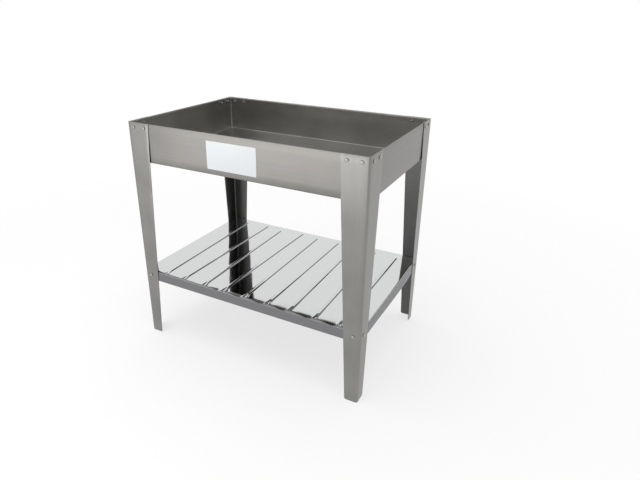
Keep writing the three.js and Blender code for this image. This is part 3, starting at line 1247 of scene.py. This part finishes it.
    def pressed(self, across: Line, back: Line) -> Vector:
        """Finds where a point of the flat blank ends up.

        Args:
            across: Its line across X.
            back: Its line across Y.

        Returns:
            The place in the finished shelf.
        """
        x, side_drop = self.place_of(across, self.low.x, self.high.x, self.side_radius)
        is_front = isinstance(back, Station) and not back.far
        radius = self.roll_radius(x) if is_front else self.side_radius
        y, end_drop = self.place_of(back, self.low.y, self.high.y, radius)
        z = self.top - side_drop - end_drop
        if side_drop == 0.0:
            z += self.rib_height(x, y) * (1 - smooth(end_drop, 0.0, 3 * MM))
            z -= self.droop(x, y, end_drop)
            if end_drop == 0.0:
                z += self.pillow(x, y)
        strayed = x + self.stray(x, y)
        move = self.bowed(strayed, y, side_drop) if end_drop == 0.0 else Vector((0, 0, 0))
        return Vector((strayed, y, z)) + move

    def roll_radius(self, x: float) -> float:
        """The front bend's radius, which is tightest where the sheet droops towards it."""
        return self.rib_radius - self.front_droop * self.looseness(x)

    def looseness(self, x: float) -> float:
        """Tells how freely the front edge droops: 0 at a rib, 1 a little short of the next.

        Args:
            x: Place across.

        Returns:
            A share from 0 to 1.
        """
        offset = ((x - self.low.x) / self.pitch) % 1.0  # 0 at one rib, 1 at the next
        inside = smooth(self.high.x - abs(x), *self.droop_from_ends)
        left = self.tight_left + (1 - self.tight_left) * smooth(x, *self.droop_from_left)
        return swell(offset, self.droop_grows, self.droop_fades) * inside * left

    def droop(self, x: float, y: float, end_drop: float) -> float:
        """How far the sheet sags towards its front fold between the ribs.

        Args:
            x: Place across.
            y: Place from front to back.
            end_drop: How far down the front or back lip the point is.

        Returns:
            The sag, greatest at the fold and nothing at the lip's lower edge.
        """
        loose = self.looseness(x)
        near = smooth(y - self.low.y, self.droop_reach * (0.5 + 0.5 * loose), 0.0)
        down = 1 - min(1.0, end_drop / self.lip)
        return self.front_droop * loose * near * down

    def rib_height(self, x: float, y: float) -> float:
        """Height of a rib above the flat.

        Args:
            x: Place across.
            y: Place from front to back.

        Returns:
            The rise.
        """
        rib, offset = self.nearest_rib(x)
        from_front, from_back = y - self.low.y, self.high.y - y
        foot = smooth(from_front, self.foot_length, self.rib_front)
        half = self.rib_half_width + (self.foot_half_width - self.rib_half_width) * foot**1.5
        if offset >= half:
            return 0.0
        flank = smooth(offset, half, half - self.rib_flank * (1 + 0.5 * foot))
        crown = 1 - self.rib_crown * (offset / half) ** 2
        hollow = foot * math.exp(-((offset / (self.foot_hollow_width * half)) ** 2))
        rear = smooth(from_back, self.rib_ends[rib] - 4 * MM, self.rib_ends[rib] + 9 * MM)
        front = smooth(from_front, 0.0, self.rib_front + 2 * MM)
        section = flank * crown * (1 - self.foot_fall * foot) - self.foot_hollow * hollow
        return self.rib_rise * rear * front * section

    def pillow(self, x: float, y: float) -> float:
        """The slight crown of the panels between ribs, and their waves.

        Args:
            x: Place across.
            y: Place from front to back.

        Returns:
            The rise.
        """
        _, offset = self.nearest_rib(x)
        panel = math.sin(math.pi * min(1.0, offset / (self.pitch / 2)) / 2) ** 2
        length = 1 - (y / self.high.y) ** 2
        return panel * (self.panel_crown + self.panel_wave * math.sin(9 * x + 5 * y)) * length

    def bowed(self, x: float, y: float, side_drop: float) -> Vector:
        """The bow of the long unsupported right side, whose lip bulges and flares outwards.

        Args:
            x: Place across.
            y: Place from front to back.
            side_drop: How far down the right or left lip the point is.

        Returns:
            How far the point moves.
        """
        if x < 0:
            return Vector((0, 0, 0))
        reach = (y - self.low.y) / (self.high.y - self.low.y)
        near = smooth(x, self.high.x - self.right_reach, self.high.x)
        out = self.right_bulge * swell(reach, self.bulge_grows, self.bulge_fades) * near
        flared = swell(reach, self.flare_grows, self.flare_fades) * side_drop / self.lip
        flare = max(0.0, self.right_flare - out) * flared
        sink = -self.right_sink * smooth(reach, *self.sink_grows) * near
        return Vector((out + flare, 0, sink))


# ---- fasteners


class Fastener(Enum):
    """What a frame node of the fasteners is."""

    SCREW = "screw"
    NUT = "nut"


@dataclass
class Fasteners:
    """Pan head screws with a cross recess, and hexagon nuts."""

    head_radius: float = 6 * MM
    head_height: float = 3.8 * MM
    head_edge: float = 1.2 * MM
    head_crown: float = 0.35  # radius of the head's flat crown, as a share of the head's
    dome_angles: tuple[float, ...] = (18, 36, 54, 70)
    shank_radius: float = 3 * MM
    length: float = 12 * MM
    tip_chamfer: float = 0.8 * MM
    recess_span: float = 6.4 * MM
    recess_width: float = 1.3 * MM
    recess_depth: float = 2.2 * MM
    recess_taper: float = 0.55  # length of a slot's floor, as a share of its mouth's
    nut_flats: float = 10 * MM
    nut_height: float = 5 * MM
    nut_bore: float = 3.3 * MM
    nut_face: float = 0.96  # width of the nut's round face, as a share of its flats
    nut_slope: float = 0.9 * MM
    burr: float = 0.15 * MM
    sides: int = 28
    turn_seed: int = 5

    def build(self) -> None:
        """Models one screw and one nut and copies them to every place."""
        patterns = {Fastener.SCREW: self.screw(), Fastener.NUT: self.nut()}
        turns = random.Random(self.turn_seed)
        for name in sorted(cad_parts):
            kind = next((k for k in Fastener if name.startswith(k.value + "_")), None)
            if kind is None:
                continue
            spin = Matrix.Rotation(turns.uniform(0, math.tau), 4, "Z")
            piece = copied(patterns[kind], f"bright_{name}", self.seat(name, kind) @ spin)
            hand_in(piece, FASTENER_FINISH, name)
        for pattern in patterns.values():
            bpy.data.objects.remove(pattern)

    def seat(self, name: str, kind: Fastener) -> Matrix:
        """Finds where a fastener sits and which way its +Z points.

        Args:
            name: The frame node.
            kind: Screw or nut.

        Returns:
            Takes the pattern to its place.
        """
        corner = next(c for c in Corner if c.name in name)
        outwards = Vector((0, -1, 0)) if name.endswith("_x") else Vector((-1, 0, 0))
        outwards = Matrix.Rotation(corner.value * QUARTER, 3, "Z") @ outwards
        low, high = node_box(name)
        reach = sum(abs(outwards[i]) * (high[i] - low[i]) / 2 for i in range(3))
        stands_out = self.head_height if kind is Fastener.SCREW else self.nut_height
        seat = (low + high) / 2 + outwards * reach - outwards * stands_out
        return Matrix.Translation(seat) @ outwards.to_track_quat("Z", "Y").to_matrix().to_4x4()

    def screw(self) -> Piece:
        """Models a pan head screw, its head from z = 0 up and its shank below.

        Returns:
            The pattern.
        """
        radius, level = self.head_radius, self.head_edge
        piece = start_disc("screw_pattern", radius, 0, self.sides, rise=level)
        dome, last = self.head_height - self.head_edge, math.radians(self.dome_angles[-1])
        for angle in (math.radians(a) for a in self.dome_angles):
            share = self.head_crown + (1 - self.head_crown) * math.cos(angle)
            shrink = self.head_radius * share / radius
            rise = self.head_edge + dome * math.sin(angle) / math.sin(last) - level
            pull_up(rise)
            level += rise
            resize(shrink, shrink, level)
            radius *= shrink
        pick(
            Pick.FACE,
            lambda face: abs(face.normal.z) > 0.9 and face.calc_center_median().z < HAIR,
        )
        bpy.ops.mesh.inset(thickness=self.head_radius - self.shank_radius)
        pull_up(-(self.length - self.tip_chamfer))
        pull_up(-self.tip_chamfer)
        tip = (self.shank_radius - self.tip_chamfer) / self.shank_radius
        resize(tip, tip, -self.length)
        face_outwards(piece)
        self.punch_recess(piece)
        break_edges(piece, self.burr, angle=30)
        shade(piece, 40)
        return piece

    def punch_recess(self, piece: Piece) -> None:
        """Punches the tapering cross into a screw's head.

        Args:
            piece: The screw pattern.
        """
        span, width = self.recess_span / 2, self.recess_width / 2
        top = self.head_height + MM
        floor = self.head_height - self.recess_depth
        for x, y in ((span, width), (width, span)):
            blade = start_cube("recess_blade", Vector((-x, -y, floor)), Vector((x, y, top)))
            pick(Pick.FACE, lambda face: face.normal.z < -0.9)
            taper = self.recess_taper
            resize(taper if x > y else 1, taper if y > x else 1, floor)
            combine(piece, blade, "DIFFERENCE")

    def nut(self) -> Piece:
        """Models a hexagon nut from z = 0 up, its corners turned down on both faces.

        Returns:
            The pattern.
        """
        corner = self.nut_flats / math.sqrt(3)
        piece = start_disc("nut_pattern", corner, 0, 6, rise=self.nut_height)
        face_outwards(piece)
        combine(piece, self.turning_cone(corner + 0.1 * MM), "INTERSECT")
        bore = start_disc("bore", self.nut_bore, -MM, self.sides, rise=self.nut_height + 2 * MM)
        face_outwards(bore)
        combine(piece, bore, "DIFFERENCE")
        break_edges(piece, self.burr, angle=30)
        shade(piece, 30)
        return piece

    def turning_cone(self, rim: float) -> Piece:
        """Makes the turned blank that rounds the corners of a nut's two faces.

        Args:
            rim: Its radius in the middle.

        Returns:
            The blank.
        """
        face = self.nut_flats / 2 * self.nut_face
        blank = start_disc("nut_blank", face, -HAIR, 40, rise=self.nut_slope)
        resize(rim / face, rim / face, 0)
        pull_up(self.nut_height - 2 * self.nut_slope)
        pull_up(self.nut_slope)
        resize(face / rim, face / rim, 0)
        face_outwards(blank)
        return blank


# ---- label


@dataclass
class Label:
    """The blank label on the front wall."""

    corner_radius: float = 3 * MM
    corner_segments: int = 5
    soft_edge: float = 0.12 * MM

    def build(self) -> None:
        """Models the label."""
        piece = start_cube("label_film", *node_box("label_blank"))
        pick(Pick.EDGE, lambda edge: runs_along(edge, 1))
        round_off(self.corner_radius, self.corner_segments)
        break_edges(piece, self.soft_edge)
        shade(piece)
        hand_in(piece, LABEL_FINISH, "label_blank")


# ---- drain


@dataclass
class Drain:
    """The flanged outlet under the trough, with its seals, grate and backnut."""

    bore: float = 19 * MM
    cup: float = 22.5 * MM
    flange_thickness: float = 1.2 * MM
    flange_chamfer: float = 0.6 * MM
    tail_step: float = 3.9 * MM
    wall: float = 1.5 * MM
    tail_length: float = 26 * MM
    shoulder_chamfer: float = 1 * MM
    shoulder_thickness: float = 1.5 * MM
    ledge_depth: float = 1.8 * MM
    burr: float = 0.2 * MM
    seal_clearance: float = 0.3 * MM
    seal_edge: float = 0.35 * MM

    def build(self) -> None:
        """Models the turned pieces and dresses the pressed ones."""
        self.body()
        for name in ("drain_upper_seal", "drain_lower_seal"):
            self.seal(name)
        for name in ("drain_grate", "drain_backnut"):
            FASTENER_FINISH.dress(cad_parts[name])
            LOG.info("%s: as packed, %s", name, FASTENER_FINISH.name)

    def body(self) -> None:
        """Turns the flanged cup with its hose tail."""
        low, high = node_box("drain_body")
        flange, top, bottom = high.x, high.z, low.z
        tail_bore = self.bore - self.tail_step
        tail_out = tail_bore + self.wall
        shoulder = bottom + self.tail_length
        neck = shoulder - self.shoulder_chamfer
        inner_shoulder = neck + self.shoulder_thickness
        ledge = top - self.ledge_depth
        outline = [
            (self.cup - self.wall, top),
            (flange - self.flange_chamfer, top),
            (flange, top - self.flange_chamfer),
            (flange, top - self.flange_thickness),
            (self.cup, top - self.flange_thickness),
            (self.cup, shoulder),
            (self.cup - self.shoulder_chamfer, neck),
            (tail_out, neck),
            (tail_out, bottom),
            (tail_bore, bottom),
            (tail_bore, inner_shoulder),
            (self.bore, inner_shoulder),
            (self.bore, ledge),
            (self.cup - self.wall, ledge),
        ]
        piece = turned_ring("drain_outlet", outline)
        break_edges(piece, self.burr)
        shade(piece)
        hand_in(piece, FASTENER_FINISH, "drain_body")

    def seal(self, name: str) -> None:
        """Turns one flat rubber ring with round edges.

        Args:
            name: Its frame node.
        """
        low, high = node_box(name)
        inside, outside = self.cup + self.seal_clearance, high.x
        outline = [(inside, low.z), (outside, low.z), (outside, high.z), (inside, high.z)]
        piece = turned_ring(f"rubber_{name}", outline)
        break_edges(piece, self.seal_edge, segments=3)
        shade(piece)
        hand_in(piece, SEAL_FINISH, name)


# ---- studio


@dataclass(frozen=True)
class Lamp:
    """A rectangular area lamp."""

    name: str
    at: Triple
    aim_at: Triple
    size: Span
    power: float
    in_metal: bool  # whether polished metal shows it

    def hang(self) -> None:
        """Adds the lamp to the scene, hidden from the eye."""
        data = bpy.data.lights.new(self.name, "AREA")
        data.shape = "RECTANGLE"
        data.size, data.size_y = self.size
        data.energy = self.power
        lamp = bpy.data.objects.new(self.name, data)
        aim = (Vector(self.aim_at) - Vector(self.at)).to_track_quat("-Z", "Y")
        lamp.matrix_world = Matrix.Translation(self.at) @ aim.to_matrix().to_4x4()
        lamp.visible_glossy = self.in_metal
        lamp.visible_camera = False
        bpy.context.collection.objects.link(lamp)


@dataclass
class Studio:
    """A plain white sweep with soft lamps, white to the eye and in polished metal alike."""

    camera_at: Triple = (0.9284, -1.5753, 1.2345)
    yaw: float = -27.174  # in degrees, as are the next two
    pitch: float = 22.723
    roll: float = 0.812
    lens: float = 28.97
    shift: Span = (0.0115, -0.0333)
    world_level: float = 0.62  # on matt surfaces
    floor_size: float = 60
    floor_gap: float = 0.5 * MM
    floor_colour: str = "#F6F6F6"
    shadow_share: float = 0.3
    shadow_ends: Span = (0.7, 2.6)
    lamps: tuple[Lamp, ...] = (
        Lamp("soft_lamp_above", (-0.3, -0.3, 3.2), (0, 0, 0), (3.0, 3.0), 62.0, False),
        Lamp("soft_box_front", (-0.85, -2.2, 0.5), (0, -0.3, 0.75), (1.9, 1.1), 11.6, True),
    )

    def build(self) -> None:
        """Sets up the floor, the surroundings, the lamps and the camera."""
        bpy.context.scene.view_settings.view_transform = "Standard"
        self.floor()
        self.surroundings()
        for lamp in self.lamps:
            lamp.hang()
        self.camera()
        LOG.info("studio: floor, world, %d lamps and camera", len(self.lamps))

    def camera(self) -> None:
        """Places the camera, a little above the rim and to the right of the front."""
        data = bpy.data.cameras.new("camera")
        data.lens = self.lens
        data.sensor_width = 36
        data.shift_x, data.shift_y = self.shift
        camera = bpy.data.objects.new("camera", data)
        camera.matrix_world = Matrix.Translation(self.camera_at)
        for angle, axis in ((-self.yaw, "Z"), (90 - self.pitch, "X"), (self.roll, "Z")):
            camera.matrix_world @= Matrix.Rotation(math.radians(angle), 4, axis)
        bpy.context.collection.objects.link(camera)
        bpy.context.scene.camera = camera

    def floor(self) -> None:
        """Lays the pale floor, a hair below the feet."""
        clear_selection()
        bpy.ops.mesh.primitive_plane_add(size=self.floor_size, location=(0, 0, -self.floor_gap))
        floor = bpy.context.object
        floor.name = "floor"
        floor.data.materials.append(self.floor_material())

    @staticmethod
    def background_rays(tree: Tree) -> Node:
        """Tells the rays that see the background from those that only carry light.

        Args:
            tree: Where to add the nodes.

        Returns:
            A node that gives 1 to the eye, and to what shows in metal or through glass.
        """
        path = add_node(tree, "LightPath").outputs
        seen = (path["Is Camera Ray"], path["Is Glossy Ray"])
        either = add_node(tree, "Math", seen, operation="MAXIMUM")
        return add_node(tree, "Math", (either, path["Is Transmission Ray"]), operation="MAXIMUM")

    def floor_material(self) -> bpy.types.Material:
        """White matt paint that keeps a soft shadow round the table and fades into the white.

        Returns:
            The material.
        """
        made = bpy.data.materials.new("pale_floor")
        tree = empty_tree(made)
        place = add_node(tree, "TexCoord").outputs["Object"]
        away = add_node(tree, "VectorMath", (place,), operation="LENGTH").outputs["Value"]
        fade = (away, *self.shadow_ends, self.shadow_share, 0.0)
        share = add_node(tree, "MapRange", fade, interpolation_type="SMOOTHSTEP")
        paint = add_node(tree, "BsdfDiffuse", {"Color": linear(self.floor_colour)})
        white = add_node(tree, "Emission", {"Strength": 1.0})
        shown = add_node(tree, "MixShader", (share, white, paint))
        surface = add_node(tree, "MixShader", (self.background_rays(tree), paint, shown))
        add_node(tree, "OutputMaterial", {"Surface": surface})
        return made

    def surroundings(self) -> None:
        """White all round to the eye and in metal, and plain soft light on matt surfaces."""
        world = bpy.data.worlds.new("studio")
        bpy.context.scene.world = world
        tree = empty_tree(world)
        rays = self.background_rays(tree)
        level = add_node(tree, "MapRange", (rays, 0.0, 1.0, self.world_level, 1.0))
        back = add_node(tree, "Background", {"Color": (1.0, 1.0, 1.0, 1.0), "Strength": level})
        add_node(tree, "OutputWorld", {"Surface": back})


# ---- all together


def main() -> None:
    """Builds the studio and each part of the table."""
    logging.basicConfig(level=logging.INFO, format="%(message)s")
    Studio().build()
    Trough().build()
    Legs().build()
    Shelf().build()
    Fasteners().build()
    Label().build()
    Drain().build()


if __name__ == "__main__":
    main()
